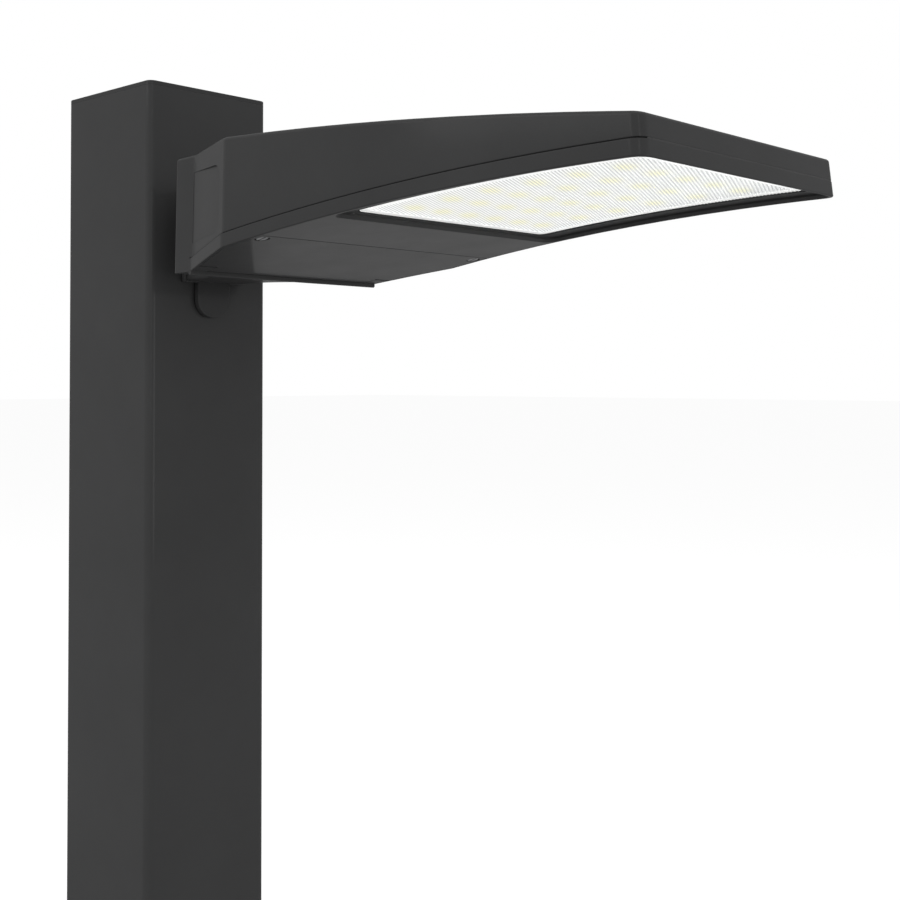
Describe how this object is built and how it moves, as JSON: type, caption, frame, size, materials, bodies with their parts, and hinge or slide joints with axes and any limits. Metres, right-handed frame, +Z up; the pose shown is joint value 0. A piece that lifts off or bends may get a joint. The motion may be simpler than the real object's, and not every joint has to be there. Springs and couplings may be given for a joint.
{
  "type": "area light",
  "caption": "Flat tapered outdoor area light with a hinged driver door and a ribbed lens, on a flared arm bolted to the top of a square pole.",
  "frame": {"origin": "on the pole's axis at the foot of the modelled pole section", "axes": "+Z up along the pole, +X from the pole towards the luminaire's tip, +Y across it; the part is the same on both sides of Y = 0"},
  "size_m": [0.6526, 0.2482, 0.79],
  "materials": {
    "black_rubber": "matt rubber",
    "board": "white solder mask",
    "charcoal_paint": "semi-gloss charcoal powder coat, fine texture",
    "dark_steel": "blackened stainless steel",
    "driver_case": "potted black case",
    "green_screw": "green passivated steel",
    "lens_clear": "clear moulded acrylic, ribbed inside",
    "nut_orange": "moulded plastic",
    "phosphor": "yellow phosphor under silicone",
    "pole_paint": "semi-gloss charcoal powder coat, fine texture",
    "raw_aluminium": "mill finish",
    "steel": "zinc-plated steel",
    "surge_case": "moulded grey case",
    "white_plastic": "moulded nylon",
    "wire": "wire insulation"
  },
  "bodies": {
    "post_and_housing": {"arm_bolts": "steel", "arm_gasket": "black_rubber", "arm_set_screws": "dark_steel", "backing_plate": "steel", "board_screws": "steel", "breather_vent": "black_rubber", "divider_grommet": "black_rubber", "driver_screws": "steel", "driver_tray": "raw_aluminium", "frame_gasket": "black_rubber", "frame_screws": "steel", "ground_screw": "green_screw", "heat_spreader": "raw_aluminium", "hinge_pins": "steel", "housing": "charcoal_paint", "led_board_front": "board", "led_board_rear": "board", "led_connectors": "white_plastic", "led_driver": "driver_case", "led_leads": "wire", "leds_front": "phosphor", "leds_rear": "phosphor", "lens": "lens_clear", "lens_clip_screws": "steel", "lens_clips": "raw_aluminium", "lens_frame": "charcoal_paint", "lens_gasket": "black_rubber", "mounting_arm": "charcoal_paint", "pole_bolt_washers": "steel", "pole_bolts": "steel", "pole_bracket": "charcoal_paint", "pole_cap": "charcoal_paint", "pole_gasket": "black_rubber", "pole_tube": "pole_paint", "spreader_screws": "steel", "supply_leads": "wire", "surge_protector": "surge_case", "terminal_block": "white_plastic", "terminal_screws": "steel", "tray_screws": "steel", "wire_grommet": "black_rubber", "wire_nuts": "nut_orange"},
    "door": {"driver_door": "charcoal_paint", "door_gasket": "black_rubber"},
    "near_washer": {"near_screw_washer": "dark_steel"},
    "near_screw": {"near_captive_screw": "dark_steel"},
    "far_washer": {"far_screw_washer": "dark_steel"},
    "far_screw": {"far_captive_screw": "dark_steel"}
  },
  "joints": [
    {"name": "door_hinge", "type": "hinge", "parent": "post_and_housing", "child": "door", "pos_m": [0.1762, 0, 0.62576], "axis": [0, 1, 0], "range_deg": [0, 90]},
    {"name": "near_screw_travel", "type": "slide", "parent": "door", "child": "near_washer", "axis": [0.1994, 0, -0.9799], "range_m": [0, 0.006]},
    {"name": "near_screw_turn", "type": "hinge", "parent": "near_washer", "child": "near_screw", "pos_m": [0.2706, -0.11296, 0.63564], "axis": [0.1994, 0, -0.9799], "range_deg": [0, 2700]},
    {"name": "far_screw_travel", "type": "slide", "parent": "door", "child": "far_washer", "axis": [0.1994, 0, -0.9799], "range_m": [0, 0.006]},
    {"name": "far_screw_turn", "type": "hinge", "parent": "far_washer", "child": "far_screw", "pos_m": [0.2706, 0.11296, 0.63564], "axis": [0.1994, 0, -0.9799], "range_deg": [0, 2700]}
  ],
  "couplings": [
    {"joint": "near_screw_turn", "follows": "near_screw_travel", "rad_per_m": 7854},
    {"joint": "far_screw_turn", "follows": "far_screw_travel", "rad_per_m": 7854}
  ]
}
